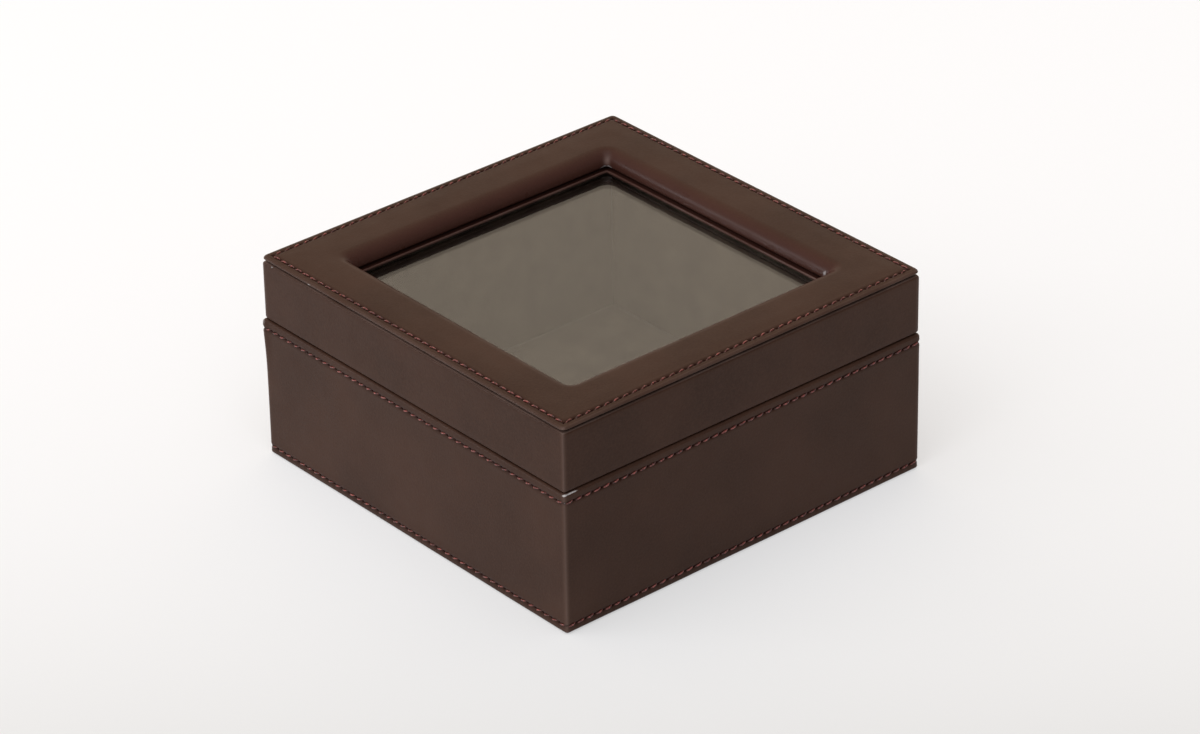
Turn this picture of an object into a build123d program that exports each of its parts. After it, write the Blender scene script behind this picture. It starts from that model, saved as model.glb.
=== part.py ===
from build123d import *
import os
from math import cos, radians, sin

# Square leather-wrapped box with a hinged window lid.
# Millimetres. +Z is up, the origin is the middle of the underside and the front faces -Y.
# "Inset" is a distance from the outer face of the base, measured towards the box's middle.

# Base
box_width = 180.0  # width and depth over the leather
base_rim = 60.2  # top of the base's rim above the table
leather = 1.0  # thickness of every leather skin
board = 7.0  # thickness of the side boards
corner_radius = 1.2  # upright corners
foot_radius = 0.9  # lower outer edge of the base
rim_radius = 0.6  # outer edge of both rims
bottom_board = 4.0
underside_cover_thickness = 0.3
underside_cover_inset = 3.0
bottom_turn_in = 12.0  # width of leather turned under the base
base_lining = 2.0  # suede-covered card
floor_pad_thickness = 2.5

# Lid
rim_gap = 0.3  # between the two rims when the lid is shut
lid_inset = 0.4  # the lid is this much smaller than the base all round
band_height = 26.1  # side band of the lid, up to the groove under the top panel
panel_edge = 1.0  # thickness of the top panel at its edge
panel_edge_radius = 0.5
crown = 0.9  # rise of the padded dome above the panel's edge
crown_start = 4.6  # from the lid's face to the foot of the dome
crown_run = 7.0  # width over which the dome rises
roll_radius = 6.0  # leather roll at the window
roll_inset = 24.6  # from the lid's face to the upright face of the roll
roll_corner_radius = 1.5
top_turn_in = 4.6  # width of band leather turned over the rails
rail = 4.8  # thickness of the flat rails
rail_padding = 2.0  # foam on the rails' inner edge
bezel = 0.8  # thickness of the window bezel
bezel_show = 1.2  # width of the bezel that shows inside the roll
bezel_corner_radius = 0.6
bezel_gap = 1.4  # shadow gap between the roll's lower edge and the bezel
glass = 2.0
glass_play = 0.5  # round the glass's edge
retainer_height = 3.0
retainer_width = 6.0
lid_lining = 1.5  # suede-covered card

# Locating lip on the base's linings
lip_height = 3.0  # above the base's rim
lip_play = 0.6  # from the lid's inner face to the lip
lip_headroom = 0.6  # from the lip to the lid's linings
lining_shoulder = 0.2  # the linings' shoulder lies this far below the rim

# Hinges
hinge_inset = 40.0  # from the box's side to the middle of a hinge
hinge_length = 24.0
leaf_width = 7.5  # on the rim
leaf_thickness = 1.0
leaf_play = 0.1  # round a leaf in its recess
barrel_radius = 1.5
barrel_gap = 0.1  # from the back of the base to the barrel
knuckle_gap = 0.2  # between knuckles along the pin
leaf_clearance = 0.15  # from a leaf to the other leaf's knuckles
knuckle_width = 8.0
pin_radius = 0.6
pin_running_fit = 0.05  # radial, in the lid's knuckle
pin_fixed_fit = 0.01  # radial, in the base's knuckles
pin_head_radius = 0.9
pin_head = 0.5
stop_radius = 2.5  # outside of the stop bar and the stop nose
stop_angle = 95.0  # opening angle at which they meet
stop_width = 32.0  # angle that the stop bar and the stop nose take up
stop_touch = 0.2  # degrees left open between them
screw_spacing = 14.0
screw_inset = 4.2
screw_length = 8.0
screw_radius = 0.95
screw_head_radius = 1.7
screw_head = 0.75
screw_fit = 0.02
screw_slot = 0.4

# Heights and half-widths that follow from the sizes above
box_half = box_width / 2
wrap_low = underside_cover_thickness
board_low = wrap_low + leather
board_high = base_rim - leather
floor_low = board_low + bottom_board
base_board_outer = box_half - leather
base_board_inner = base_board_outer - board
base_lining_inner = base_board_inner - base_lining

lid_half = box_half - lid_inset
lid_rim = base_rim + rim_gap
lid_board_outer = lid_half - leather
lid_board_inner = lid_board_outer - board
lid_lining_inner = lid_board_inner - lid_lining
groove = lid_rim + band_height
panel_top = groove + panel_edge
crown_top = panel_top + crown
rail_high = groove - leather
rail_low = rail_high - rail
glass_top = rail_low - bezel
glass_low = glass_top - glass
retainer_low = glass_low - retainer_height
roll_half = lid_half - roll_inset
roll_low = rail_low + bezel_gap
padding_inner = roll_half + leather
rail_inner = padding_inner + rail_padding
bezel_inner = roll_half - bezel_show

lip_outer = lid_board_inner - lip_play
lip_top = base_rim + lip_height
shoulder = base_rim - lining_shoulder

hinge_y = box_half + barrel_gap + barrel_radius
hinge_z = base_rim + rim_gap / 2
leaf_front = box_half - leaf_width - hinge_y
leaf_back = -(barrel_radius + leaf_clearance)
screw_y = box_half - screw_inset - hinge_y
hinge_places = {"left": hinge_inset - box_half, "right": box_half - hinge_inset}

SIDES = ("front", "right", "back", "left")  # in turning order
SAME_PLACE = 1e-3  # two heights or widths this close are one


def save(shape, node):
    export_step(shape, f"parts/{node}.step")


def square_block(half, low, high, corner=0.0):
    """Square block about the box's middle, with its upright corners rounded."""
    if corner > 0:
        outline = RectangleRounded(2 * half, 2 * half, corner)
    else:
        outline = Rectangle(2 * half, 2 * half)
    return extrude(Plane.XY.offset(low) * outline, high - low)


def mitred_strip(side, outer, inner, low, high):
    """One side of a square frame, cut at 45 degrees where it meets its neighbours."""
    outline = Polygon(
        (-outer, -outer), (outer, -outer), (inner, -inner), (-inner, -inner), align=None
    )
    strip = extrude(Plane.XY.offset(low) * outline, high - low)
    return Rot(0, 0, 360 / len(SIDES) * SIDES.index(side)) * strip


def level_edges(shape, height, nearest=0.0):
    """Edges that lie level at this height and further out than nearest."""
    found = []
    for edge in shape.edges():
        box = edge.bounding_box()
        level = max(abs(box.min.Z - height), abs(box.max.Z - height)) < SAME_PLACE
        reach = max(abs(edge.center().X), abs(edge.center().Y))
        if level and reach > nearest:
            found.append(edge)
    return found


def box_between(low, high):
    """Box from its lowest to its highest corner."""
    size = [b - a for a, b in zip(low, high)]
    middle = [(a + b) / 2 for a, b in zip(low, high)]
    return Pos(*middle) * Box(*size)


# Hinge parts, drawn with the pin's axis along X through the origin


def barrel_piece(radius, start, end):
    """Round bar along the pin's axis."""
    return Pos((start + end) / 2, 0, 0) * Rot(0, 90, 0) * Cylinder(radius, end - start)


def stop_sector(inner, start_angle, end_angle, start, end):
    """Piece of a ring round the pin, between two angles measured from +Y towards +Z."""
    reach = 2 * stop_radius
    corners = [(0, 0)]
    for angle in (start_angle, (start_angle + end_angle) / 2, end_angle):
        corners.append((reach * cos(radians(angle)), reach * sin(radians(angle))))
    ring = Circle(stop_radius) - Circle(inner)
    sketch = ring & Polygon(*corners, align=None)
    return extrude(Plane.YZ.offset(start) * sketch, end - start)


def hinge_screw(rim, up):
    """Countersunk slotted screw in one leaf, its head flush with that leaf's rim."""
    head = Pos(0, 0, -screw_head / 2) * Cone(screw_radius, screw_head_radius, screw_head)
    shank = Pos(0, 0, -screw_length / 2) * Cylinder(screw_radius, screw_length)
    slot = Box(2 * screw_head_radius, screw_slot, screw_slot)
    screw = head + shank - slot
    if up:
        screw = Rot(180, 0, 0) * screw
    return Pos(0, 0, rim) * screw


def screw_hole(rim, up):
    """Hole that the countersunk screw takes, a little larger all round."""
    depth = screw_length + screw_fit
    head = Pos(0, 0, -screw_head / 2) * Cone(
        screw_radius + screw_fit, screw_head_radius + screw_fit, screw_head
    )
    hole = head + Pos(0, 0, -depth / 2) * Cylinder(screw_radius + screw_fit, depth)
    if up:
        hole = Rot(180, 0, 0) * hole
    return Pos(0, 0, rim) * hole


def at_screws(shape):
    """The shape at both screws of a hinge drawn about the origin."""
    return [Pos(x, screw_y, 0) * shape for x in (-screw_spacing / 2, screw_spacing / 2)]


knuckle_ends = {
    "outer": [
        (-hinge_length / 2, -knuckle_width / 2 - knuckle_gap / 2),
        (knuckle_width / 2 + knuckle_gap / 2, hinge_length / 2),
    ],
    "middle": [(-knuckle_width / 2 + knuckle_gap / 2, knuckle_width / 2 - knuckle_gap / 2)],
}
stop_middle = stop_angle / 2 + stop_touch / 2


def hinge_leaf(own_knuckles, bore_fit, up):
    """Leaf with its knuckles. It is drawn for the base, and turned over for the lid."""
    leaf_top = -rim_gap / 2
    leaf_low = leaf_top - leaf_thickness
    leaf = box_between(
        (-hinge_length / 2, leaf_front, leaf_low), (hinge_length / 2, leaf_back, leaf_top)
    )
    for start, end in own_knuckles:
        leaf += box_between((start, leaf_back, leaf_low), (end, 0, leaf_top))
        leaf += barrel_piece(barrel_radius, start, end)
    for hole in at_screws(screw_hole(leaf_top, False)):
        leaf -= hole
    near, far = -stop_middle, -stop_middle - stop_width
    if up:
        start, end = own_knuckles[0]
        leaf += stop_sector(pin_radius + bore_fit, near, far, start, end)
    else:
        inner = barrel_radius + leaf_clearance
        leaf += stop_sector(inner, near, far, -hinge_length / 2, hinge_length / 2)
        for start, end in own_knuckles:
            leaf += stop_sector(pin_radius + bore_fit, near, far, start, end)
    leaf -= barrel_piece(pin_radius + bore_fit, -hinge_length, hinge_length)
    if up:
        leaf = mirror(leaf, about=Plane.XY)
    return leaf


def hinge_pin():
    """Pin with a low head at each end."""
    pin = barrel_piece(pin_radius, -hinge_length / 2, hinge_length / 2)
    pin += barrel_piece(pin_head_radius, -hinge_length / 2 - pin_head, -hinge_length / 2)
    pin += barrel_piece(pin_head_radius, hinge_length / 2, hinge_length / 2 + pin_head)
    return pin


def at_hinge(shape, side):
    return Pos(hinge_places[side], hinge_y, hinge_z) * shape


def leaf_recess(side, up):
    """Room that a leaf takes in its rim."""
    deep, shallow = -rim_gap / 2 - leaf_thickness, leaf_thickness
    low, high = (-shallow, -deep) if up else (deep, shallow)
    half_length = hinge_length / 2 + leaf_play
    room = box_between(
        (-half_length, leaf_front - leaf_play, low), (half_length, 0, high)
    )
    return at_hinge(room, side)


def cut_for_hinges(shape, up):
    """The shape with the recesses and screw holes of both hinges."""
    rim = rim_gap / 2 if up else -rim_gap / 2
    for side in hinge_places:
        shape -= leaf_recess(side, up)
        for hole in at_screws(screw_hole(rim, up)):
            shape -= at_hinge(hole, side)
    return shape


# Base


def base_boards():
    for side in SIDES:
        strip = mitred_strip(side, base_board_outer, base_board_inner, board_low, board_high)
        if side == "back":
            strip = cut_for_hinges(strip, False)
        save(strip, f"base_{side}_board")
    save(square_block(base_board_inner, board_low, floor_low), "base_bottom_board")


def base_leather():
    """Leather round the sides, over the rim and under the bottom."""
    skin = square_block(box_half, wrap_low, base_rim, corner_radius)
    skin = skin.fillet(foot_radius, level_edges(skin, wrap_low))
    skin = skin.fillet(rim_radius, level_edges(skin, base_rim))
    skin -= square_block(base_board_outer, board_low, board_high)
    skin -= square_block(base_board_inner, board_low, base_rim)
    skin -= square_block(box_half - bottom_turn_in, wrap_low, board_low)
    save(cut_for_hinges(skin, False), "base_leather_wrap")


def base_underside():
    card = square_block(box_half - bottom_turn_in, wrap_low, board_low)
    save(card, "underside_filler_card")
    cover = square_block(
        box_half - underside_cover_inset, 0, underside_cover_thickness, corner_radius
    )
    save(cover, "underside_cover")


def base_linings():
    for side in SIDES:
        lining = mitred_strip(side, base_board_inner, base_lining_inner, floor_low, shoulder)
        lining += mitred_strip(side, lip_outer, base_lining_inner, shoulder, lip_top)
        save(lining, f"base_{side}_lining")
    pad = square_block(base_lining_inner, floor_low, floor_low + floor_pad_thickness)
    save(pad, "floor_pad")


# Lid


def lid_boards():
    for side in SIDES:
        strip = mitred_strip(
            side, lid_board_outer, lid_board_inner, lid_rim + leather, rail_low
        )
        if side == "back":
            strip = cut_for_hinges(strip, True)
        save(strip, f"lid_{side}_board")
        rail_strip = mitred_strip(side, lid_board_outer, rail_inner, rail_low, rail_high)
        save(rail_strip, f"lid_{side}_rail")


def lid_side_leather():
    """Band round the lid, turned under its rim and over the rails."""
    skin = square_block(lid_half, lid_rim, groove, corner_radius)
    skin = skin.fillet(rim_radius, level_edges(skin, lid_rim))
    skin = skin.fillet(panel_edge_radius, level_edges(skin, groove))
    skin -= square_block(lid_board_outer, lid_rim + leather, rail_high)
    skin -= square_block(lid_board_inner, lid_rim, rail_high)
    skin -= square_block(lid_half - top_turn_in, rail_high, groove)
    save(cut_for_hinges(skin, True), "lid_side_leather")


def padded_form(edge_half, depth):
    """Domed panel with its rolled window, its whole surface set back by depth."""
    low, edge_top, top = roll_low, panel_top - depth, crown_top - depth
    foot_half = lid_half - crown_start
    dome_half = foot_half - crown_run
    form = square_block(edge_half, low, edge_top, corner_radius)
    form += loft(
        [
            Plane.XY.offset(height) * RectangleRounded(2 * half, 2 * half, corner_radius)
            for height, half in ((edge_top, foot_half), (top, dome_half))
        ]
    )
    window_half = roll_half + depth
    form -= square_block(window_half, low, top, roll_corner_radius + depth)
    window_edges = [
        edge
        for edge in level_edges(form, top)
        if max(abs(edge.center().X), abs(edge.center().Y)) < window_half + SAME_PLACE
    ]
    return form.fillet(roll_radius - depth, window_edges)


def lid_top_panel():
    """Top leather with its turned edge, and the foam strips under it."""
    skin = padded_form(lid_half, 0)
    skin = skin.fillet(panel_edge_radius, level_edges(skin, panel_top, lid_half - corner_radius))
    beyond = lid_half + leather
    under = padded_form(beyond, leather)
    skin -= under
    save(skin, "lid_top_leather")
    foam = under & square_block(lid_half - top_turn_in, roll_low, crown_top)
    for side in SIDES:
        strip = foam & mitred_strip(side, beyond, padding_inner / 2, roll_low, crown_top)
        strip -= mitred_strip(side, beyond, rail_inner, roll_low, rail_high)
        save(strip, f"lid_{side}_padding")


def lid_window():
    frame = square_block(lid_board_inner, glass_top, rail_low)
    frame -= square_block(bezel_inner, glass_top, rail_low, bezel_corner_radius)
    save(frame, "window_bezel")
    save(square_block(lid_board_inner - glass_play, glass_low, glass_top), "window_glass")
    for side in SIDES:
        strip = mitred_strip(
            side, lid_board_inner, lid_board_inner - retainer_width, retainer_low, glass_low
        )
        save(strip, f"glass_{side}_retainer")


def lid_linings():
    for side in SIDES:
        lining = mitred_strip(
            side, lid_board_inner, lid_lining_inner, lip_top + lip_headroom, retainer_low
        )
        save(lining, f"lid_{side}_lining")


# Hinges


def hinges():
    base_leaf = hinge_leaf(knuckle_ends["outer"], pin_fixed_fit, False)
    lid_leaf = hinge_leaf(knuckle_ends["middle"], pin_running_fit, True)
    for side in hinge_places:
        save(at_hinge(base_leaf, side), f"{side}_hinge_base_leaf")
        save(at_hinge(lid_leaf, side), f"{side}_hinge_lid_leaf")
        save(at_hinge(hinge_pin(), side), f"{side}_hinge_pin")
    for body, up in (("base", False), ("lid", True)):
        rim = rim_gap / 2 if up else -rim_gap / 2
        screws = [
            at_hinge(screw, side)
            for side in hinge_places
            for screw in at_screws(hinge_screw(rim, up))
        ]
        save(Compound(children=screws), f"{body}_hinge_screws")


base_boards()
base_leather()
base_underside()
base_linings()
lid_boards()
lid_side_leather()
lid_top_panel()
lid_window()
lid_linings()
hinges()
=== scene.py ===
from math import copysign, cos, exp, floor, pi, radians, sin, tan

import bmesh
import bpy
from mathutils import Matrix, Vector, noise


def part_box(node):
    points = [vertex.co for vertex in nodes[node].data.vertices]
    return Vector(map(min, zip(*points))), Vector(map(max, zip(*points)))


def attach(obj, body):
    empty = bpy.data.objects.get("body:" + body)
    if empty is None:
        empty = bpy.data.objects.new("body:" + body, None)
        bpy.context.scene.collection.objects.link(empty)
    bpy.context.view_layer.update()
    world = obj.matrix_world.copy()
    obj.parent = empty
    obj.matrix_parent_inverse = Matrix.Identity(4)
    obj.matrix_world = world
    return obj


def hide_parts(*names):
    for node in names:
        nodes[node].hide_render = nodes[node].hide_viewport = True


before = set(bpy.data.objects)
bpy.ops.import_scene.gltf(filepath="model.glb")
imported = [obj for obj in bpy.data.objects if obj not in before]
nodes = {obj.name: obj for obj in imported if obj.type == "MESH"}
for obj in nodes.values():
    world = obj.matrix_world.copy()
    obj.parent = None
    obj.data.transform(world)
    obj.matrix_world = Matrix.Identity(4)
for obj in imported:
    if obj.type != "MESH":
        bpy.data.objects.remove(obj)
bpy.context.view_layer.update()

# Square leather-wrapped box with a padded window lid, seen from its front left corner.
# Lengths are in millimetres and become metres only when a mesh or a lamp is made.
# "Half" is the half-width of a square ring round the box's upright middle line.

MM = 0.001


def box_of(node):
    """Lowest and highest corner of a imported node, in millimetres."""
    low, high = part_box(node)
    return low / MM, high / MM


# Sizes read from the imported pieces
base_low, base_high = box_of("base_leather_wrap")
base_half = base_high.x
rim = base_high.z
wrap_low = base_low.z
board_outer = box_of("base_front_board")[1].x
lining_high = box_of("base_front_lining")[1]
lining_outer = lining_high.x
band_low, band_high = box_of("lid_side_leather")
lid_half = band_high.x
lid_rim = band_low.z
groove = band_high.z
panel_low, panel_high = box_of("lid_top_leather")
dome_top = panel_high.z
roll_low = panel_low.z
rail_top = box_of("lid_front_rail")[1].z
bezel_low, bezel_high = box_of("window_bezel")
pad_low, pad_high = box_of("floor_pad")

leather = 1.0  # thickness of every leather skin
stitch_pitch = 4.5
upright_radius = 1.2  # upright corners of box and lid
foot_radius = 0.9  # lower outer edge of the base
board = 7.0  # thickness of the side boards


# Camera at the photograph's viewing angle

CAMERA_PLACE = Vector((-1.083494, -1.286397, 0.996902))
CAMERA_AZIMUTH = 49.778  # of the viewing direction, from +X towards +Y
CAMERA_DROP = 29.59  # degrees below level
CAMERA_ROLL = -1.04224525
SENSOR = 36.0
LENS = 149.645


def add_camera():
    azimuth, drop, roll = radians(CAMERA_AZIMUTH), radians(CAMERA_DROP), radians(CAMERA_ROLL)
    ahead = Vector((cos(azimuth) * cos(drop), sin(azimuth) * cos(drop), -sin(drop)))
    level = ahead.cross(Vector((0, 0, 1))).normalized()
    upright = level.cross(ahead)
    right = level * cos(roll) + upright * sin(roll)
    up = upright * cos(roll) - level * sin(roll)
    data = bpy.data.cameras.new("photo_camera")
    data.sensor_width = SENSOR
    data.lens = LENS
    data.clip_start, data.clip_end = 0.05, 50
    camera = bpy.data.objects.new("photo_camera", data)
    camera.matrix_world = Matrix.Translation(CAMERA_PLACE) @ Matrix(
        (right, up, -ahead)
    ).transposed().to_4x4()
    bpy.context.scene.collection.objects.link(camera)
    bpy.context.scene.camera = camera


# Materials


def linear(code):
    """Linear colour of an sRGB hex code."""
    shares = [int(code[i : i + 2], 16) / 255 for i in (1, 3, 5)]
    return (*[s / 12.92 if s <= 0.04045 else ((s + 0.055) / 1.055) ** 2.4 for s in shares], 1)


def add(tree, kind, out=0, settings=None, **inputs):
    """Adds a node with its settings and inputs, and returns one of its outputs.

    An input goes by its name or, as _6, by its number, and takes a value or another output.
    """
    node = tree.nodes.new("ShaderNode" + kind)
    for name, value in (settings or {}).items():
        setattr(node, name, value)
    for name, value in inputs.items():
        socket = node.inputs[int(name[1:]) if name[0] == "_" else name.replace("_", " ")]
        if isinstance(value, bpy.types.NodeSocket):
            tree.links.new(value, socket)
        else:
            socket.default_value = value
    return node.outputs[out] if node.outputs else None


def bare_material(name, slot=None):
    """A material with an empty node tree, and the finish slot that it stands for."""
    material = bpy.data.materials.new(name)
    material.use_nodes = True
    material.node_tree.nodes.clear()
    if slot:
        material["slot"] = slot
    return material, material.node_tree


def grain(size):
    """Pattern scale at which features are about size millimetres across."""
    return 1 / (size * MM)


COLOUR = {"data_type": "RGBA"}  # setting of a Mix node that mixes colours


def smooth_leather():
    """Bonded cow leather, dyed dark brown, pressed smooth and waxed matt.

    The dye sits a little unevenly and the pressed grain only breaks the soft sheen. Seams, gaps and
    grooves are dark with dust and painted shade, and the leather is redder and glossier where it is
    stretched over the roll. Edges and upright corners are painted paler, for dye rubbed thin and for a
    painted highlight, and the roll's back right corner has a painted highlight. The pale grey core
    shows where corners have rubbed, and a few pale spots are painted glints.
    """
    material, tree = bare_material("dyed_smooth_leather", "leather")
    place = add(tree, "TexCoord", "Object")
    dye = add(tree, "TexNoise", Vector=place, Scale=grain(34), Detail=2.0)
    dye = add(tree, "MapRange", Value=dye, From_Min=0.35, From_Max=0.65)
    body = add(tree, "Mix", 2, COLOUR, _0=dye, _6=linear("#38241b"), _7=linear("#402a20"))
    speck = add(tree, "TexNoise", Vector=place, Scale=grain(0.9), Detail=2.0, Roughness=0.6)
    speck = add(tree, "MapRange", Value=speck, From_Min=0.35, From_Max=0.75, To_Max=0.35)
    body = add(tree, "Mix", 2, COLOUR, _0=speck, _6=body, _7=linear("#4b3429"))
    # painted shade: seams, needle holes, gaps and grooves darkened, with some dust
    crease_shade = add(tree, "Attribute", "Fac", {"attribute_name": "crease_shade"})
    body = add(tree, "Mix", 2, COLOUR, _0=crease_shade, _6=body, _7=linear("#200c0a"))
    # painted paler: dye rubbed thin on edges and corners, with painted highlights there and on the
    # roll's back right corner
    rub_and_highlight = add(tree, "Attribute", "Fac", {"attribute_name": "rub_and_highlight"})
    body = add(tree, "Mix", 2, COLOUR, _0=rub_and_highlight, _6=body, _7=linear("#8f7a72"))
    # pale worn core at rubbed spots, and painted glints
    worn_and_glint = add(tree, "Attribute", "Fac", {"attribute_name": "worn_and_glint"})
    ragged = add(tree, "TexNoise", Vector=place, Scale=grain(1.2), Detail=3.0, Roughness=0.7)
    worn_and_glint = add(tree, "Math", settings={"operation": "MULTIPLY_ADD"}, _0=ragged, _1=0.7, _2=worn_and_glint)
    worn_and_glint = add(tree, "MapRange", Value=worn_and_glint, From_Min=0.66, From_Max=1.0)
    body = add(tree, "Mix", 2, COLOUR, _0=worn_and_glint, _6=body, _7=linear("#b9b5b4"))
    stretched = add(tree, "Attribute", "Fac", {"attribute_name": "stretched"})
    redder = add(tree, "Math", settings={"operation": "MULTIPLY"}, _0=stretched, _1=0.45)
    body = add(tree, "Mix", 2, COLOUR, _0=redder, _6=body, _7=linear("#4a2a26"))
    gloss = add(tree, "Math", settings={"operation": "MULTIPLY_ADD"}, _0=crease_shade, _1=-0.11, _2=0.12)
    sheen = add(tree, "TexNoise", Vector=place, Scale=grain(9), Detail=3.0)
    sheen = add(tree, "MapRange", Value=sheen, From_Min=0.3, From_Max=0.7, To_Min=0.38, To_Max=0.46)
    sheen = add(tree, "Math", settings={"operation": "MULTIPLY_ADD"}, _0=stretched, _1=-0.12, _2=sheen)
    pores = add(tree, "TexVoronoi", "Distance", Vector=place, Scale=grain(0.8))
    relief = add(tree, "Bump", Height=pores, Distance=0.02 * MM)
    fold = add(tree, "TexNoise", Vector=place, Scale=grain(2.6), Detail=4.0)
    relief = add(tree, "Bump", Height=fold, Distance=0.03 * MM, Normal=relief)
    surface = add(tree, "BsdfPrincipled", Base_Color=body, Roughness=sheen, IOR=1.46,
                  Specular_IOR_Level=gloss, Normal=relief)
    add(tree, "OutputMaterial", Surface=surface)
    return material


def waxed_thread():
    """Bonded polyester sewing thread in burgundy: a tight twist with a waxy gloss."""
    material, tree = bare_material("waxed_polyester_thread", "leather")
    place = add(tree, "TexCoord", "Object")
    twist = add(tree, "TexNoise", Vector=place, Scale=grain(0.8), Detail=2.0)
    # light and dark strands of the twist, partly painted highlights
    twist_and_highlight = add(tree, "MapRange", Value=twist, From_Min=0.4, From_Max=0.62)
    colour = add(tree, "Mix", 2, COLOUR, _0=twist_and_highlight, _6=linear("#401715"), _7=linear("#964c45"))
    # painted shade on the thread's ends where they sink into the holes
    sunk_shade = add(tree, "Attribute", "Fac", {"attribute_name": "crease_shade"})
    colour = add(tree, "Mix", 2, COLOUR, _0=sunk_shade, _6=colour, _7=linear("#2e100e"))
    relief = add(tree, "Bump", Height=twist, Distance=0.06 * MM)
    surface = add(tree, "BsdfPrincipled", Base_Color=colour, Roughness=0.28, IOR=1.5, Normal=relief)
    add(tree, "OutputMaterial", Surface=surface)
    return material


def suede():
    """Napped microfibre suede in dark taupe: matt, brushed into soft patches of pile."""
    material, tree = bare_material("napped_microfibre_suede", "suede")
    place = add(tree, "TexCoord", "Object")
    brushed = add(tree, "TexNoise", Vector=place, Scale=grain(20), Detail=3.0, Roughness=0.55)
    brushed = add(tree, "MapRange", Value=brushed, From_Min=0.3, From_Max=0.7)
    colour = add(tree, "Mix", 2, COLOUR, _0=brushed, _6=linear("#372d26"), _7=linear("#5c5045"))
    fibre = add(tree, "TexNoise", Vector=place, Scale=grain(0.5), Detail=3.0, Roughness=0.7)
    tips = add(tree, "MapRange", Value=fibre, From_Min=0.3, From_Max=0.7, To_Max=0.1)
    colour = add(tree, "Mix", 2, COLOUR, _0=tips, _6=colour, _7=linear("#695c4f"))
    relief = add(tree, "Bump", Height=fibre, Distance=0.008 * MM)
    surface = add(tree, "BsdfPrincipled", Base_Color=colour, Roughness=0.95, IOR=1.4,
                  Specular_IOR_Level=0.15, Sheen_Weight=0.15, Sheen_Roughness=0.5, Normal=relief)
    add(tree, "OutputMaterial", Surface=surface)
    return material


def felt():
    """Pressed wool-mix felt under the box: near black and matt, with short tangled fibres."""
    material, tree = bare_material("pressed_wool_felt", "felt")
    place = add(tree, "TexCoord", "Object")
    tangle = add(tree, "TexNoise", Vector=place, Scale=grain(0.7), Detail=5.0, Roughness=0.7)
    dark = add(tree, "MapRange", Value=tangle, From_Min=0.3, From_Max=0.7)
    colour = add(tree, "Mix", 2, COLOUR, _0=dark, _6=linear("#171412"), _7=linear("#2b2623"))
    relief = add(tree, "Bump", Height=tangle, Distance=0.15 * MM)
    surface = add(tree, "BsdfPrincipled", Base_Color=colour, Roughness=1.0,
                  Specular_IOR_Level=0.1, Sheen_Weight=0.3, Normal=relief)
    add(tree, "OutputMaterial", Surface=surface)
    return material


def fibreboard():
    """Sawn medium density fibreboard under a thin dark stain: matt, with fine short fibres."""
    material, tree = bare_material("medium_density_fibreboard", "fibreboard")
    place = add(tree, "TexCoord", "Object")
    fibres = add(tree, "TexNoise", Vector=place, Scale=grain(1.2), Detail=6.0, Roughness=0.75)
    bare = add(tree, "MapRange", Value=fibres, From_Min=0.3, From_Max=0.7)
    colour = add(tree, "Mix", 2, COLOUR, _0=bare, _6=linear("#3a2a20"), _7=linear("#4d3b2e"))
    relief = add(tree, "Bump", Height=fibres, Distance=0.05 * MM)
    surface = add(tree, "BsdfPrincipled", Base_Color=colour, Roughness=0.8, Normal=relief)
    add(tree, "OutputMaterial", Surface=surface)
    return material


def grey_card():
    """Recycled grey card: dull, with flecks of pulp."""
    material, tree = bare_material("recycled_grey_card", "card")
    place = add(tree, "TexCoord", "Object")
    flecks = add(tree, "TexNoise", Vector=place, Scale=grain(1.0), Detail=4.0, Roughness=0.8)
    pale = add(tree, "MapRange", Value=flecks, From_Min=0.35, From_Max=0.65)
    colour = add(tree, "Mix", 2, COLOUR, _0=pale, _6=linear("#8d857a"), _7=linear("#a59c8f"))
    relief = add(tree, "Bump", Height=flecks, Distance=0.02 * MM)
    surface = add(tree, "BsdfPrincipled", Base_Color=colour, Roughness=0.9, Normal=relief)
    add(tree, "OutputMaterial", Surface=surface)
    return material


def foam():
    """Open-cell polyurethane foam, cut in strips: cream, with fine open cells."""
    material, tree = bare_material("open_cell_polyurethane_foam", "foam")
    place = add(tree, "TexCoord", "Object")
    cells = add(tree, "TexVoronoi", "Distance", Vector=place, Scale=grain(0.7))
    pale = add(tree, "MapRange", Value=cells, From_Min=0.1, From_Max=0.6)
    colour = add(tree, "Mix", 2, COLOUR, _0=pale, _6=linear("#b8ad97"), _7=linear("#ddd3bd"))
    relief = add(tree, "Bump", Height=cells, Distance=0.2 * MM)
    surface = add(tree, "BsdfPrincipled", Base_Color=colour, Roughness=1.0, Normal=relief)
    add(tree, "OutputMaterial", Surface=surface)
    return material


def float_glass():
    """Clear float glass, 2 mm: a warm grey reflection over what lies below it.

    Rays that carry light to the pieces below go straight through, so the inside is lit.
    """
    material, tree = bare_material("clear_float_glass", "glass")
    sight = add(tree, "BsdfPrincipled", Base_Color=linear("#f2f4f2"), Roughness=0.0, IOR=1.5,
                Transmission_Weight=1.0)
    clear = add(tree, "BsdfTransparent", Color=linear("#e9ebe9"))
    shadow = add(tree, "LightPath", "Is Shadow Ray")
    diffuse = add(tree, "LightPath", "Is Diffuse Ray")
    lighting = add(tree, "Math", settings={"operation": "MAXIMUM"}, _0=shadow, _1=diffuse)
    surface = add(tree, "MixShader", Fac=lighting, _1=sight, _2=clear)
    add(tree, "OutputMaterial", Surface=surface)
    return material


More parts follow.
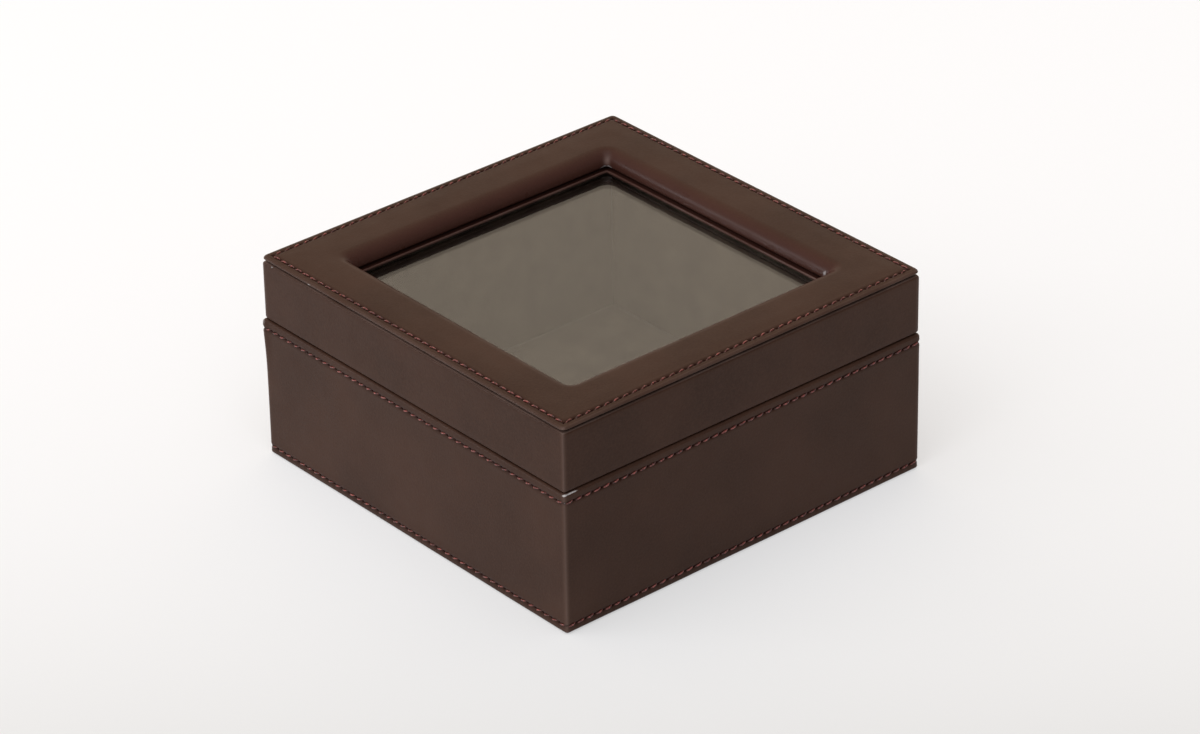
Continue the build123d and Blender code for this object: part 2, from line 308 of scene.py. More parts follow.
def brass(name, slot, code, line_width):
    """Brass that was brushed or turned: warm yellow with fine lines and a soft gloss."""
    material, tree = bare_material(name, slot)
    place = add(tree, "TexCoord", "Object")
    along = add(tree, "Mapping", Vector=place, Scale=(0.03, 1, 1))
    lines = add(tree, "TexNoise", Vector=along, Scale=grain(line_width), Detail=3.0)
    gloss = add(tree, "MapRange", Value=lines, From_Min=0.3, From_Max=0.7, To_Min=0.24, To_Max=0.4)
    relief = add(tree, "Bump", Height=lines, Distance=0.01 * MM)
    surface = add(tree, "BsdfPrincipled", Base_Color=linear(code), Metallic=1.0, Roughness=gloss,
                  Normal=relief)
    add(tree, "OutputMaterial", Surface=surface)
    return material


# Mesh helpers


def square_ring(half, corner, along):
    """Point and outward direction on a rounded square.

    along runs from 0 to 4 round the ring; each whole number is the middle of a corner, and 0 to 1
    is the front side from left to right.
    """
    corner = min(corner, half)
    straight = 2 * (half - corner)
    arc = pi * corner / 4
    side = int(floor(along))
    run = (along - side) * (straight + 2 * arc)
    if run < arc:
        turn = (arc - run) / corner if corner else 0
        point = Vector((-(half - corner) - corner * sin(turn), -(half - corner) - corner * cos(turn)))
        out = Vector((-sin(turn), -cos(turn)))
    elif run > arc + straight:
        turn = (run - arc - straight) / corner
        point = Vector((half - corner + corner * sin(turn), -(half - corner) - corner * cos(turn)))
        out = Vector((sin(turn), -cos(turn)))
    else:
        point = Vector((run - arc - straight / 2, -half))
        out = Vector((0, -1))
    quarter = Matrix.Rotation(side * pi / 2, 2)
    return quarter @ point, quarter @ out


class Row:
    """One ring of a wrapped skin: where it lies in the section and which way its face looks."""

    def __init__(self, half, z, out, up, corner, seam=None, dark=0.0, edge=0.0):
        self.half, self.z, self.out, self.up, self.corner = half, z, out, up, corner
        self.seam = seam  # distance from the stitch line, across it
        self.dark = dark  # share of painted shade, in creases, gaps and grooves
        self.edge = edge  # how much paler the row is painted: dye rubbed thin, and a painted highlight on the edge


def arc_rows(centre_half, centre_z, radius, start, end, steps, corner):
    """Rows on an arc of the section; angles in degrees, 0 outwards and 90 upwards.

    corner gives the corner radius of the ring at a half-width.
    """
    rows = []
    for step in range(steps + 1):
        angle = radians(start + (end - start) * step / steps)
        half = centre_half + radius * cos(angle)
        rows.append(Row(half, centre_z + radius * sin(angle), cos(angle), sin(angle), corner(half)))
    return rows


def flat_rows(start, end, steps, out, up, corner, ends=(True, True)):
    """Evenly spaced rows from one place of the section to another."""
    rows = []
    for step in range(0 if ends[0] else 1, steps + (1 if ends[1] else 0)):
        share = step / steps
        half = start[0] + (end[0] - start[0]) * share
        z = start[1] + (end[1] - start[1]) * share
        rows.append(Row(half, z, out, up, corner(half)))
    return rows


SEAM_ROWS = (-2.0, -1.35, -0.9, -0.6, -0.3, 0.0, 0.3, 0.6, 0.9, 1.35, 2.0)
COLUMNS_PER_STITCH = 6
SEAM_DEPTH = 0.16  # of the shallow trough that the thread pulls in
SEAM_REACH = 0.85
SEAM_SHADE = 0.4
HOLE_DEPTH = 0.5  # of the hollow at a needle hole
HOLE_REACH_ACROSS = 0.42
HOLE_REACH_ALONG = 0.6
HOLE_SHADE = 0.95
PUFF = 0.07  # how far the leather rises on both sides of the trough
PUFF_PLACE = 1.3
PUFF_REACH = 0.6


def seam_relief(across, column):
    """How far the leather is pulled in at a stitched seam, and how dark it is there."""
    step = column % COLUMNS_PER_STITCH
    from_hole = min(step, COLUMNS_PER_STITCH - step) * stitch_pitch / COLUMNS_PER_STITCH
    trough = exp(-((across / SEAM_REACH) ** 2))
    hole = exp(-((across / HOLE_REACH_ACROSS) ** 2)) * exp(-((from_hole / HOLE_REACH_ALONG) ** 2))
    puff = PUFF * exp(-(((abs(across) - PUFF_PLACE) / PUFF_REACH) ** 2))
    # painted shade in the seam's trough and its needle holes
    shade = min(1, SEAM_SHADE * trough + HOLE_SHADE * hole)
    return SEAM_DEPTH * trough + HOLE_DEPTH * hole - puff, shade


def extruded(mesh, ring):
    """Extrudes a ring of edges, and returns the new verts and the new ring."""
    made = bmesh.ops.extrude_edge_only(mesh, edges=ring)["geom"]
    fresh = [item for item in made if isinstance(item, bmesh.types.BMVert)]
    edges = [item for item in made if isinstance(item, bmesh.types.BMEdge)]
    return fresh, [edge for edge in edges if all(vert in fresh for vert in edge.verts)]


LONG_WAVE = 38  # spacing of the leather's slow undulation
SHORT_WAVE = 13
SHORT_SHARE = 0.35  # height of the short wave against the long one


def wrapped_skin(name, rows, columns, wave=0.0, swell=None):
    """Closed skin lofted through rows of the section, ring by ring.

    wave is how far the leather undulates, and swell says how far it stands out at a place.
    """
    mesh = bmesh.new()
    column = mesh.verts.layers.int.new("column")
    crease_shade_layer = mesh.verts.layers.float.new("crease_shade")
    worn_and_glint_layer = mesh.verts.layers.float.new("worn_and_glint")
    rub_and_highlight_layer = mesh.verts.layers.float.new("rub_and_highlight")
    stretched_layer = mesh.verts.layers.float.new("stretched")
    first = bmesh.ops.create_circle(mesh, segments=columns, radius=1, cap_ends=False)["verts"]
    for index, vert in enumerate(first):
        vert[column] = index
    ring = list({edge for vert in first for edge in vert.link_edges})

    def place(verts, row):
        for vert in verts:
            number = vert[column]
            point, out = square_ring(row.half, row.corner, 4 * number / columns)
            depth = 0.0
            vert[crease_shade_layer] = row.dark
            if row.seam is not None:
                depth, vert[crease_shade_layer] = seam_relief(row.seam, number)
            spot = Vector((point.x, point.y, row.z))
            if wave:
                depth += wave * noise.noise(spot / LONG_WAVE)
                depth += SHORT_SHARE * wave * noise.noise(spot / SHORT_WAVE)
            if swell:
                depth -= swell(spot)
            vert.co = spot - Vector((out.x * row.out, out.y * row.out, row.up)) * depth
            vert[worn_and_glint_layer] = wear_and_glint_at(vert.co)
            vert[rub_and_highlight_layer] = rub_and_highlight_at(vert.co, row)
            vert[stretched_layer] = roll_share(row.half)

    place(first, rows[0])
    for row in rows[1:] + rows[:1]:
        fresh, ring = extruded(mesh, ring)
        place(fresh, row)
    bmesh.ops.remove_doubles(mesh, verts=mesh.verts, dist=0.001)
    bmesh.ops.recalc_face_normals(mesh, faces=mesh.faces)
    return finished(name, mesh)


def finished(name, mesh, smooth=True, sharp=40):
    """Object in metres from a millimetre bmesh, smooth but for edges sharper than the angle."""
    bmesh.ops.scale(mesh, vec=(MM, MM, MM), verts=mesh.verts)
    data = bpy.data.meshes.new(name)
    mesh.to_mesh(data)
    mesh.free()
    for face in data.polygons:
        face.use_smooth = smooth
    if smooth:
        data.set_sharp_from_angle(angle=radians(sharp))
    piece = bpy.data.objects.new(name, data)
    bpy.context.scene.collection.objects.link(piece)
    return piece


def dress(piece, material, body, stands_for=()):
    """Material, body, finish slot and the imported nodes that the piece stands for."""
    piece.data.materials.clear()
    piece.data.materials.append(material)
    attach(piece, body)
    if stands_for:
        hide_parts(*stands_for)
    return piece


def cut_away(piece, low, high):
    """Cuts a box, given in millimetres, out of the piece."""
    mesh = bmesh.new()
    bmesh.ops.create_cube(mesh, size=1)
    bmesh.ops.scale(mesh, vec=high - low, verts=mesh.verts)
    bmesh.ops.translate(mesh, vec=(high + low) / 2, verts=mesh.verts)
    cutter = finished("cutter", mesh, smooth=False)
    cut = piece.modifiers.new("cut", "BOOLEAN")
    cut.operation, cut.object, cut.solver = "DIFFERENCE", cutter, "EXACT"
    graph = bpy.context.evaluated_depsgraph_get()
    result = bpy.data.meshes.new_from_object(piece.evaluated_get(graph))
    piece.modifiers.clear()
    piece.data = result
    bpy.data.objects.remove(cutter)


# Leather skins

LID_STITCHES = 38  # along each side
BASE_STITCHES = 40
LID_SEAM_HALF = base_half - 3.55
LID_SEAM_CORNER = 1.9
SEAM_UPPER = 56.4  # height of the base's upper seam
SEAM_LOWER = 3.5
SEAM_TOP = groove + 1.5  # height of the panel's leather at its seam
PANEL_EDGE = 1.05  # rounding of the panel's edge, above
UNDER_EDGE = 0.35  # and below
UNDER_LIFT = 0.2  # how far the panel's edge stands up from the groove's level
PANEL_CORNER = 2.2
EDGE_TUCK = 0.6  # how far the panel's edge is drawn in below
PADDING_REACH = 8.0  # from the seam to where the padding is at its full height
TURNED_IN = lid_half - 4.6  # how far the side band's leather is turned in over the rails
PANEL_INNER = lid_half - 11.6
ROLL_RADIUS = 6.0
ROLL_FACE = lid_half - 24.6
ROLL_CORNER = 1.5
CREST_FLAT = 3.4  # from the roll's crest to the next row of the dome
GROOVE_GAP = 0.9  # the shadow gap under the top panel
GROOVE_DEPTH = 2.6
BAND_RADIUS = 1.3  # rounding of the side band's top edge
LID_RIM_RADIUS = 1.2
BASE_RIM_RADIUS = 1.3
LEAF_PLAY = 0.1  # round a hinge leaf in its recess

corner_half = base_half - 0.6  # where the rounding of an upright corner shows
WORN_AND_GLINT_SPOTS = (  # where the pale core of the leather shows, and painted glints: place, reach along each axis, strength
    ((-base_half + 3.9, -corner_half, rim - 0.45), (4.3, 0.9, 0.3), 0.78),
    ((-corner_half, -corner_half, rim - 0.6), (0.8, 0.8, 0.45), 0.6),
    ((-corner_half, -corner_half, SEAM_UPPER), (0.5, 0.5, 0.35), 0.7),
    ((-corner_half - 0.3, -corner_half + 0.9, groove - 0.7), (0.8, 0.9, 0.6), 1.0),
    ((-corner_half, -corner_half, groove + 0.9), (0.9, 0.9, 0.5), 0.35),
    ((-corner_half, corner_half, rim - 1.2), (1.6, 1.6, 1.4), 0.6),
    ((-corner_half, base_half - 6.6, groove - 1.3), (0.7, 0.6, 0.45), 0.8),
    ((-corner_half, base_half - 9.6, groove - 1.1), (0.7, 0.8, 0.3), 0.5),
    # painted glints on the panel's left edge
    ((-corner_half, base_half - 30.0, groove + 0.6), (0.8, 1.3, 0.3), 0.6),
    ((corner_half, -corner_half, rim - 0.5), (0.8, 0.8, 0.6), 0.5),
    ((-corner_half, -corner_half, wrap_low + 0.6), (0.9, 0.9, 0.6), 0.4),
    ((ROLL_FACE + 0.1, ROLL_FACE - 1.2, roll_low + 0.1), (0.5, 2.2, 0.45), 1.2),
    ((ROLL_FACE - 1.2, ROLL_FACE + 0.1, roll_low + 0.1), (2.2, 0.5, 0.45), 1.2),
    # painted glint on the roll at the window's right corner
    ((ROLL_FACE + 0.9, -ROLL_FACE + 2.9, roll_low + 1.8), (0.8, 0.9, 1.0), 1.6),
)


def wear_and_glint_at(point):
    """Share of pale colour at a place: the leather's worn pale core, and painted glints."""
    total = 0.0
    for place, reach, strength in WORN_AND_GLINT_SPOTS:
        far = sum(((point[axis] - place[axis]) / reach[axis]) ** 2 for axis in range(3))
        total += strength * exp(-far)
    return min(1.0, total)


RUB_PATCH = 17  # size of the patches in which an edge is rubbed
UPRIGHT_RUB_AND_HIGHLIGHT = 0.26  # paleness of the upright corners: dye rubbed off, and a painted highlight
UPRIGHT_RUB_REACH = 1.1
# painted highlight on the roll's back right corner
ROLL_HIGHLIGHT_PLACE = Vector((ROLL_FACE + 0.4, ROLL_FACE + 0.4, roll_low + 1.9))
ROLL_HIGHLIGHT = 1.2
ROLL_HIGHLIGHT_REACH = 1.6


def rub_and_highlight_at(point, row):
    """How pale the leather is painted: dye rubbed thin along edges in patches, and down the upright
    corners, where it is partly a painted highlight.

    The roll's back right corner has a painted highlight.
    """
    patch = 0.6 + 0.6 * noise.noise(point / RUB_PATCH)
    from_corner = (abs(abs(point.x) - abs(point.y)) / UPRIGHT_RUB_REACH) ** 2
    upright = UPRIGHT_RUB_AND_HIGHLIGHT * row.out * exp(-from_corner) if row.half > LID_SEAM_HALF else 0.0
    # painted highlight where the roll turns its back right corner
    roll_highlight = ROLL_HIGHLIGHT * exp(-(((point - ROLL_HIGHLIGHT_PLACE).length / ROLL_HIGHLIGHT_REACH) ** 2))
    return min(1.0, max(0.0, row.edge * patch + upright + roll_highlight))


STRETCH_END = 5.5  # from the roll's face to where its leather lies unstretched
STRETCH_RUN = 4


def roll_share(half):
    """1 where the leather is stretched over the roll, falling to 0 on the flat panel."""
    if half < ROLL_FACE:
        return 1.0
    return min(1.0, max(0.0, (ROLL_FACE + STRETCH_END - half) / STRETCH_RUN))


def upright_corner(_half):
    return upright_radius


def drawn_in_corner(outer, radius=upright_radius):
    """Corner radius of rings that draw in over a rounded rim, so the corner stays full."""

    def corner(half):
        return max(0.3, radius - max(0.0, outer - half))

    return corner


def top_corner(half):
    """Corner radius of the lid's rings: tight at the window, fuller over the roll and dome."""
    if half <= ROLL_FACE:
        return ROLL_CORNER
    over_roll = ROLL_CORNER + (half - ROLL_FACE)
    crest = ROLL_CORNER + ROLL_RADIUS
    if half < PANEL_INNER:
        return min(over_roll, crest)
    share = min(1.0, (TURNED_IN - half) / (TURNED_IN - PANEL_INNER))
    return upright_radius + (crest - upright_radius) * max(0.0, share)


def padding_rise(inset):
    """Height of the padded leather above the panel's seam, inset from it."""
    share = min(1.0, max(0.0, inset / PADDING_REACH))
    return (dome_top - SEAM_TOP) * sin(share * pi / 2)


def lid_top_panel(leather_finish):
    """Padded leather top: a rounded stitched edge, a low dome and the roll at the window."""
    edge_top = SEAM_TOP - 0.1
    outer = lid_half - UNDER_EDGE
    rounded = drawn_in_corner(lid_half, PANEL_CORNER)
    lifted = groove + UNDER_LIFT
    # the groove under the panel's edge is painted in shade
    rows = [Row(TURNED_IN, groove, 0, 0, 1.0, dark=1.0)]
    rows += [Row(lid_half - GROOVE_DEPTH, groove, 0, 0, 1.0, dark=1.0)]
    rows += [Row(outer - EDGE_TUCK, lifted, 0, 0, rounded(outer), dark=0.8)]
    rows += arc_rows(outer, lifted + UNDER_EDGE, UNDER_EDGE, -90, 0, 3, rounded)
    outer = lid_half - PANEL_EDGE
    rows += arc_rows(outer, edge_top - PANEL_EDGE, PANEL_EDGE, 0, 85, 6, rounded)[1:]
    # the panel's edge is painted paler: dye rubbed thin, and a painted highlight
    for row in rows[3:]:
        row.edge = 0.12
    for across in reversed(SEAM_ROWS):
        half = LID_SEAM_HALF + across
        z = SEAM_TOP + padding_rise(-across) - 0.05 * max(0.0, across)
        rows.append(Row(half, z, 0, 1, rounded(half), across))
    for inset in (2.9, 3.9, 4.9, 5.9, 6.9, 7.9):
        half = LID_SEAM_HALF - inset
        rows.append(Row(half, SEAM_TOP + padding_rise(inset), 0, 1, top_corner(half)))
    crest = ROLL_FACE + ROLL_RADIUS
    centre = dome_top - ROLL_RADIUS
    rows += [Row(crest + CREST_FLAT, dome_top, 0, 1, top_corner(crest))]
    rows += arc_rows(crest, centre, -ROLL_RADIUS, -90, 0, 14, top_corner)
    # painted shade on the roll's lower edge and the leather turned under it
    rows += [Row(ROLL_FACE + 0.12, roll_low, -1, 0, ROLL_CORNER, dark=0.2)]
    hidden = [
        Row(ROLL_FACE + leather, roll_low, 0, 0, ROLL_CORNER + leather, dark=1.0),
        Row(ROLL_FACE + leather, centre, 0, 0, ROLL_CORNER + leather),
    ]
    hidden += arc_rows(crest, centre, -(ROLL_RADIUS - leather), 0, -90, 6, top_corner)[1:]
    hidden += [Row(PANEL_INNER, dome_top - leather, 0, 0, 3.0)]
    for row in hidden:  # the leather's inner face doesn't undulate
        row.out = row.up = 0
    columns = 4 * LID_STITCHES * COLUMNS_PER_STITCH
    piece = wrapped_skin("lid_top_padded_leather", rows + hidden, columns, 0.05)
    dress(piece, leather_finish, "lid", stands_for=["lid_top_leather"])


def lid_band(leather_finish):
    """Leather round the lid's sides, turned under its rim and over its top edge."""
    inner = lid_half - leather - board
    rounded = drawn_in_corner(lid_half)
    outer = lid_half - LID_RIM_RADIUS
    rows = flat_rows((inner, lid_rim), (outer, lid_rim), 3, 0, -1, rounded, (True, False))
    rows += arc_rows(outer, lid_rim + LID_RIM_RADIUS, LID_RIM_RADIUS, -90, 0, 6, rounded)
    shoulder = groove - GROOVE_GAP
    rows += flat_rows((lid_half, lid_rim + LID_RIM_RADIUS), (lid_half, shoulder - BAND_RADIUS), 14,
                      1, 0, upright_corner, (False, False))
    top = arc_rows(lid_half - BAND_RADIUS, shoulder - BAND_RADIUS, BAND_RADIUS, 0, 90, 7, rounded)
    # the band's top edge is painted paler: dye rubbed thin, and a painted highlight
    for row in top[4:]:
        row.edge = 0.34
    rows += top + [
        # painted shade in the groove under the top panel
        Row(lid_half - GROOVE_DEPTH, shoulder, 0, 0, 1.0, dark=1.0),
        Row(lid_half - GROOVE_DEPTH, groove, 0, 0, 1.0, dark=1.0),
        Row(TURNED_IN, groove, 0, 0, 1.0),
        Row(TURNED_IN, rail_top, 0, 0, 1.5),
        Row(lid_half - leather, rail_top, 0, 0, 1.0),
        Row(lid_half - leather, lid_rim + leather, 0, 0, 1.0),
        Row(inner, lid_rim + leather, 0, 0, 0.5),
    ]
    piece = wrapped_skin("lid_side_leather_band", rows, 4 * 180, 0.07)
    cut_hinge_recesses(piece, "lid", lid_rim - 5, lid_rim + leather)
    dress(piece, leather_finish, "lid", stands_for=["lid_side_leather"])


SWELL = 0.75
SWELL_REACH = 2.4  # to the sides of the corner
SWELL_PLACE = rim - 1.2
SWELL_BELOW = 13.0  # reach down from its place
SWELL_ABOVE = 1.5


def corner_swell(spot):
    """The leather's fold stands out at the base's back left corner, and less so below it."""
    beside = (Vector((spot.x, spot.y)) - Vector((-base_half, base_half))).length / SWELL_REACH
    below = (SWELL_PLACE - spot.z) / (SWELL_BELOW if spot.z < SWELL_PLACE else SWELL_ABOVE)
    return SWELL * exp(-beside * beside) * exp(-below * below)


BASE_TURN_IN = 12.0  # width of leather turned under the base


def base_wrap(leather_finish):
    """Leather round the base, over its rim and under its bottom, with two stitched seams."""
    turned_in = base_half - BASE_TURN_IN
    rounded = drawn_in_corner(base_half)
    outer = base_half - foot_radius
    rows = flat_rows((turned_in, wrap_low), (outer, wrap_low), 3, 0, -1, rounded, (True, False))
    rows += arc_rows(outer, wrap_low + foot_radius, foot_radius, -90, -12, 5, rounded)
    for across in SEAM_ROWS[3:]:
        rows.append(Row(base_half, SEAM_LOWER + across, 1, 0, upright_radius, across))
    rows += flat_rows((base_half, SEAM_LOWER + 2), (base_half, SEAM_UPPER - 2), 16, 1, 0,
                      upright_corner, (False, False))
    for across in SEAM_ROWS:
        rows.append(Row(base_half, SEAM_UPPER + across, 1, 0, upright_radius, across))
    outer = base_half - BASE_RIM_RADIUS
    rows += arc_rows(outer, rim - BASE_RIM_RADIUS, BASE_RIM_RADIUS, 0, 90, 7, rounded)
    rows += [
        # painted shade on the rim's top, where the lid closes over it
        Row(base_half - 3.5, rim, 0, 1, 0.5, dark=0.5),
        Row(lining_outer, rim, 0, 1, 0.5),
        Row(lining_outer, rim - leather, 0, 0, 0.5),
        Row(board_outer, rim - leather, 0, 0, 1.0),
        Row(board_outer, wrap_low + leather, 0, 0, 1.0),
        Row(turned_in, wrap_low + leather, 0, 0, 0.5),
    ]
    columns = 4 * BASE_STITCHES * COLUMNS_PER_STITCH
    piece = wrapped_skin("base_leather_skin", rows, columns, 0.08, corner_swell)
    cut_hinge_recesses(piece, "base", rim - leather, rim + 5)
    dress(piece, leather_finish, "base", stands_for=["base_leather_wrap"])


def cut_hinge_recesses(piece, body, low_z, high_z):
    """Recesses in the back rim where the hinge leaves lie flush."""
    for side in ("left", "right"):
        low, high = box_of(f"{side}_hinge_{body}_leaf")
        cut_away(
            piece,
            Vector((low.x - LEAF_PLAY, low.y - LEAF_PLAY, low_z)),
            Vector((high.x + LEAF_PLAY, base_half + 5, high_z)),
        )


RIB_RADIUS = 0.35
BEZEL_SHOWN = 1.0  # width of the bezel that shows inside the roll
CHANNEL_START = 0.85  # from the bezel's inner edge
CHANNEL_STEP = 0.7
CHANNEL_END = 4.7
CHANNEL_FLOOR = 0.25  # leather left under the channel


def window_bezel(leather_finish):
    """Leather-covered frame on the glass: a fine rib, and a channel behind it under the roll that is
    painted in shade.
    """
    low, high, outer = bezel_low.z, bezel_high.z, bezel_high.x
    inner = ROLL_FACE - BEZEL_SHOWN
    channel, channel_end = inner + CHANNEL_START, inner + CHANNEL_END
    channel_floor = low + CHANNEL_FLOOR

    def tight(half):
        return 0.6 + max(0.0, min(half, channel_end) - inner)

    rows = [Row(inner, low, 0, 0, tight(inner))]
    rows += arc_rows(inner + RIB_RADIUS, high - RIB_RADIUS, -RIB_RADIUS, 0, -180, 9, tight)
    # the rib is painted paler: dye rubbed thin, and a painted highlight on its edge
    for row in rows:
        row.edge = 0.4
    # the channel is painted in shade, darkest at its back under the roll
    rows += [
        Row(half, channel_floor, 0, 0, tight(half), dark=0.35)
        for half in (channel, channel + CHANNEL_STEP, channel_end)
    ]
    rows += [
        Row(channel_end + 0.1, high, 0, 0, tight(channel_end), dark=1.0),
        Row(outer, high, 0, 0, 0.5),
        Row(outer, low, 0, 0, 0.5),
    ]
    piece = wrapped_skin("window_bezel_lip", rows, 4 * 60, 0.03)
    dress(piece, leather_finish, "lid", stands_for=["window_bezel"])


# Sewing thread

STITCH_LENGTH = 3.6
STITCH_SLANT = 13  # degrees across the seam
STITCH_SECTIONS = (  # place along the stitch, height above the leather, thickness
    (0.0, -0.45, 0.20),
    (0.12, 0.02, 0.26),
    (0.34, 0.25, 0.34),
    (0.62, 0.23, 0.33),
    (0.86, 0.0, 0.26),
    (1.0, -0.45, 0.20),
)
THREAD_SIDES = 6
THREAD_SHADE_START = 0.2  # height of the thread below which it is painted in shade, sinking into its hole
THREAD_SHADE_SLOPE = 2.2
THREAD_FLATNESS = 0.9  # height against width
LENGTH_VARIATION = 0.08
PLACE_VARIATION = 0.06


def stitched_row(name, half, z, corner, out, up, per_side, body, thread):
    """A row of slanted stitches round the box, each one sunk into its two holes."""
    mesh = bmesh.new()
    section = mesh.verts.layers.int.new("section")
    around = mesh.verts.layers.int.new("around")
    crease_shade_layer = mesh.verts.layers.float.new("crease_shade")
    start = bmesh.ops.create_circle(mesh, segments=THREAD_SIDES, radius=0.3, cap_ends=True)["verts"]
    for index, vert in enumerate(start):
        vert[around] = index
    ring = list(mesh.edges)
    for number in range(1, len(STITCH_SECTIONS)):
        fresh, ring = extruded(mesh, ring)
        for vert in fresh:
            vert[section] = number
            vert.co.z = number
    bmesh.ops.contextual_create(mesh, geom=ring)
    bmesh.ops.recalc_face_normals(mesh, faces=mesh.faces)
    template = mesh.verts[:] + mesh.edges[:] + mesh.faces[:]
    side_length = 2 * (half - corner) + pi * corner / 2
    reach = STITCH_LENGTH * tan(radians(STITCH_SLANT)) / 2
    for stitch in range(4 * per_side):
        copy = bmesh.ops.duplicate(mesh, geom=template)["geom"]
        wobble = noise.noise(Vector((stitch * 1.7, half, z)))
        length = STITCH_LENGTH * (1 + LENGTH_VARIATION * wobble)
        for vert in copy:
            if not isinstance(vert, bmesh.types.BMVert):
                continue
            share, lift, thick = STITCH_SECTIONS[vert[section]]
            # the thread's ends are painted in shade where they sink into the holes
            shade = (THREAD_SHADE_START - lift) * THREAD_SHADE_SLOPE
            vert[crease_shade_layer] = max(0.0, min(1.0, shade))
            run = (share - 0.5) * length / side_length
            along = (stitch + 0.5) / per_side + run
            point, away = square_ring(half, corner, along % 4)
            normal = Vector((away.x * out, away.y * out, up))
            ahead = Vector((-away.y, away.x, 0))
            across = normal.cross(ahead)
            middle = Vector((point.x, point.y, z)) + normal * lift
            middle += across * ((share - 0.5) * 2 * reach + PLACE_VARIATION * wobble)
            turn = 2 * pi * vert[around] / THREAD_SIDES
            edge = across * cos(turn) + normal * sin(turn) * THREAD_FLATNESS
            vert.co = middle + edge * thick
    spent = [item for item in template if isinstance(item, bmesh.types.BMVert)]
    bmesh.ops.delete(mesh, geom=spent, context="VERTS")
    bmesh.ops.recalc_face_normals(mesh, faces=mesh.faces)
    piece = finished(name, mesh, sharp=70)
    dress(piece, thread, body)


# Suede interior

SIDES = ("front", "right", "back", "left")
LINING_EDGE = 0.35  # rounding of the linings' long edges
MITRE_PLAY = 0.12  # at each end of a lining, and once more on its last ring
END_RING = 0.997  # place of the ring next to the end
END_SQUEEZE = 0.0024  # how far the last ring is drawn in over its height
NAP_WAVE = 24  # spacing of the suede's slow undulation
NAP_DEPTH = 0.12


def lined_strip(name, side, section, body, finish, stands_for, steps=28):
    """A suede-covered card along one side: its section, swept between mitred ends.

    section is a loop of (half-width, height); its corners are rounded here.
    """
    mesh = bmesh.new()
    index_layer = mesh.verts.layers.int.new("place")
    loop = rounded_loop(section, LINING_EDGE)
    verts = []
    for number in range(len(loop)):
        verts.append(mesh.verts.new((0, 0, 0)))
        verts[number][index_layer] = number
    ring = [mesh.edges.new((verts[i - 1], verts[i])) for i in range(len(verts))]
    middle = Vector((sum(p[0] for p in loop) / len(loop), sum(p[1] for p in loop) / len(loop)))
    quarter = Matrix.Rotation(SIDES.index(side) * pi / 2, 3, "Z")

    def place(items, share):
        for vert in items:
            half, z = loop[vert[index_layer]]
            at_end = abs(share) == 1
            spot = Vector((share * (half - MITRE_PLAY * (1 + at_end)), -half, z))
            if at_end:
                spot.z += (middle.y - z) * END_SQUEEZE
            elif half < middle.x:
                nap = noise.noise(spot / NAP_WAVE + Vector((7, 3, 1)))
                spot.y -= NAP_DEPTH * nap - NAP_DEPTH
            vert.co = quarter @ spot

    inner_shares = [END_RING * (2 * step / steps - 1) for step in range(1, steps)]
    shares = [-1, -END_RING] + inner_shares + [END_RING, 1]
    place(verts, shares[0])
    bmesh.ops.contextual_create(mesh, geom=ring)
    for share in shares[1:]:
        fresh, ring = extruded(mesh, ring)
        place(fresh, share)
    bmesh.ops.contextual_create(mesh, geom=ring)
    bmesh.ops.recalc_face_normals(mesh, faces=mesh.faces)
    piece = finished(name, mesh)
    dress(piece, finish, body, stands_for=stands_for)


def rounded_loop(section, radius, steps=3):
    """The section's outline with its corners rounded, as evenly turned points."""
    count = len(section)
    points = []
    for number, corner in enumerate(section):
        before = (Vector(section[number - 1]) - Vector(corner)).normalized()
        after = (Vector(section[(number + 1) % count]) - Vector(corner)).normalized()
        for step in range(steps + 1):
            share = step / steps
            weight_before, weight_after = (1 - share) ** 2, share**2
            points.append(Vector(corner) + (before * weight_before + after * weight_after) * radius)
    return [(p.x, p.y) for p in points]


LIP_STEP = 1.0  # from the lining's outer face to the locating lip's
SHOULDER_DROP = 0.2  # from the rim down to the lining's shoulder
LID_LINING = 1.5  # thickness


def linings(suede_finish):
    """Suede-covered cards on the walls of base and lid."""
    lip_outer = lining_outer - LIP_STEP
    shoulder = rim - SHOULDER_DROP
    inner = pad_high.x
    low, lip_top = pad_low.z, lining_high.z
    base_section = [(lining_outer, low), (lining_outer, shoulder), (lip_outer, shoulder),
                    (lip_outer, lip_top), (inner, lip_top), (inner, low)]
    lid_low, lid_high = box_of("lid_front_lining")
    lid_inner = lid_high.x - LID_LINING
    lid_section = [(lid_high.x, lid_low.z), (lid_high.x, lid_high.z),
                   (lid_inner, lid_high.z), (lid_inner, lid_low.z)]
    for side in SIDES:
        for body, section in (("base", base_section), ("lid", lid_section)):
            lined_strip(f"{body}_{side}_suede_lining", side, section, body, suede_finish,
                        [f"{body}_{side}_lining"])


PAD_CELLS = 56  # along each side
PAD_PLAY = 0.1
PAD_CROWDING = 1.35  # above 1, the cells crowd towards the pad's edges
PAD_EDGE_DROP = 1.1
PAD_SINK = 0.15


